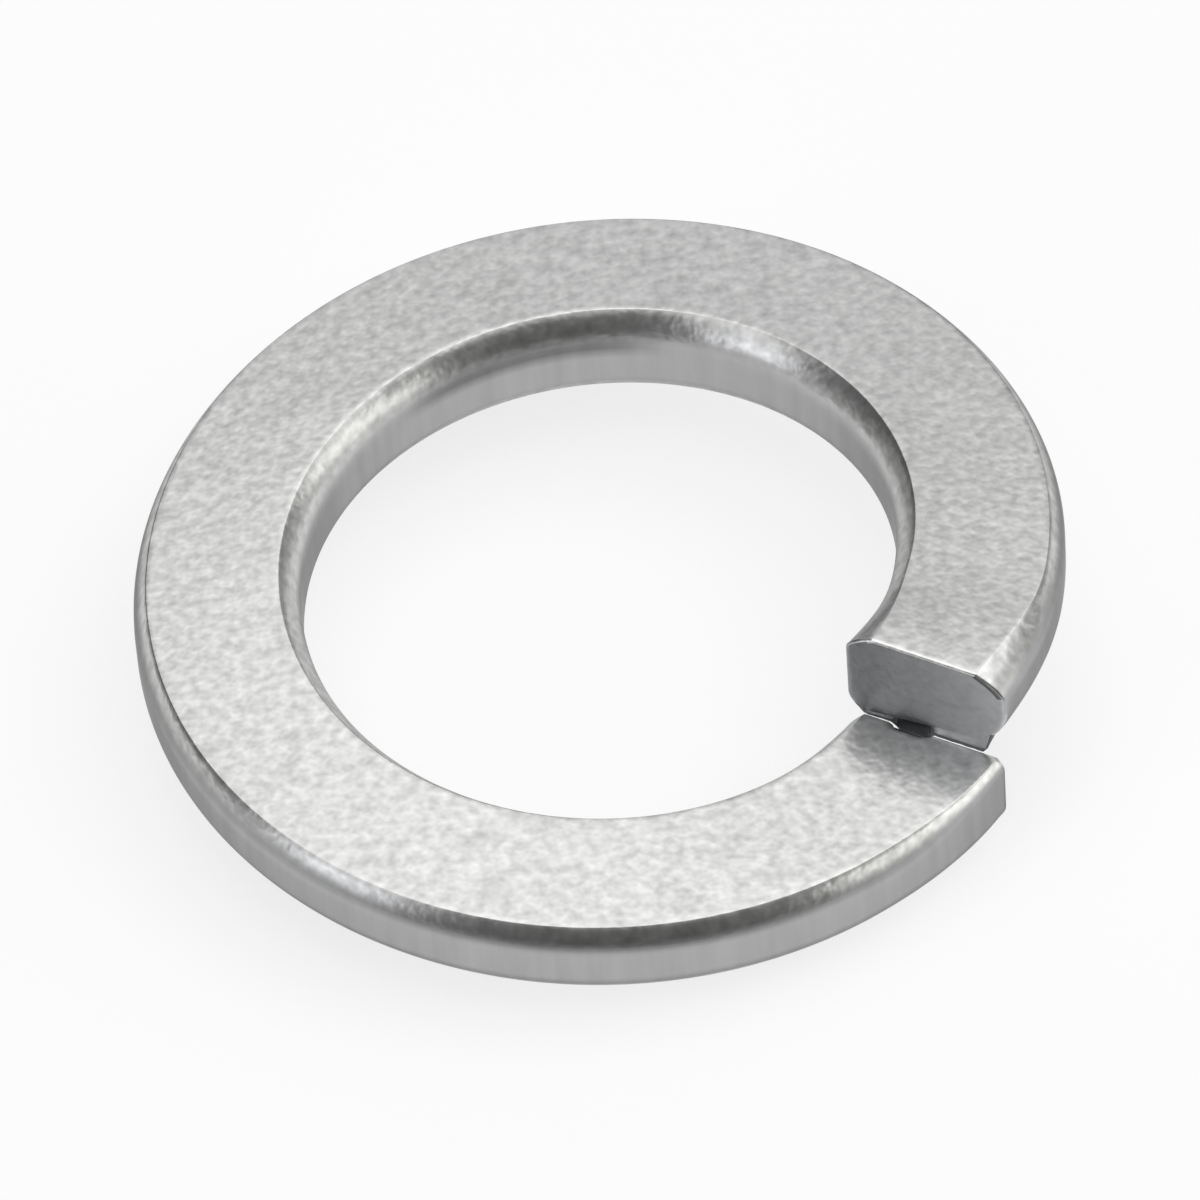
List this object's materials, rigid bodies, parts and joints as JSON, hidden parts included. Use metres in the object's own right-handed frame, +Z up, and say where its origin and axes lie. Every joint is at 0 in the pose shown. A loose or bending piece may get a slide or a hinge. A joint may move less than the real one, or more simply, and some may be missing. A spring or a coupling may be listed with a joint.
{
  "type": "spring lock washer",
  "caption": "Split steel ring coiled by one left-hand turn, which goes on a bolt under the nut and is pressed flat to keep it tight.",
  "frame": {"origin": "on the bore's axis, at the level of the lowest point of the underside, which lies at the foot of the lower cut end", "axes": "+Z up along the bore, towards the nut; +X and +Y across the ring, with the slit 35.5 degrees clockwise of +X seen from above"},
  "size_m": [0.0574, 0.0574, 0.0133],
  "materials": {
    "plated_steel": "matte silver-grey plating over blasted spring steel, with a fine grain"
  },
  "bodies": {
    "root": {"washer": "plated_steel"}
  },
  "joints": []
}
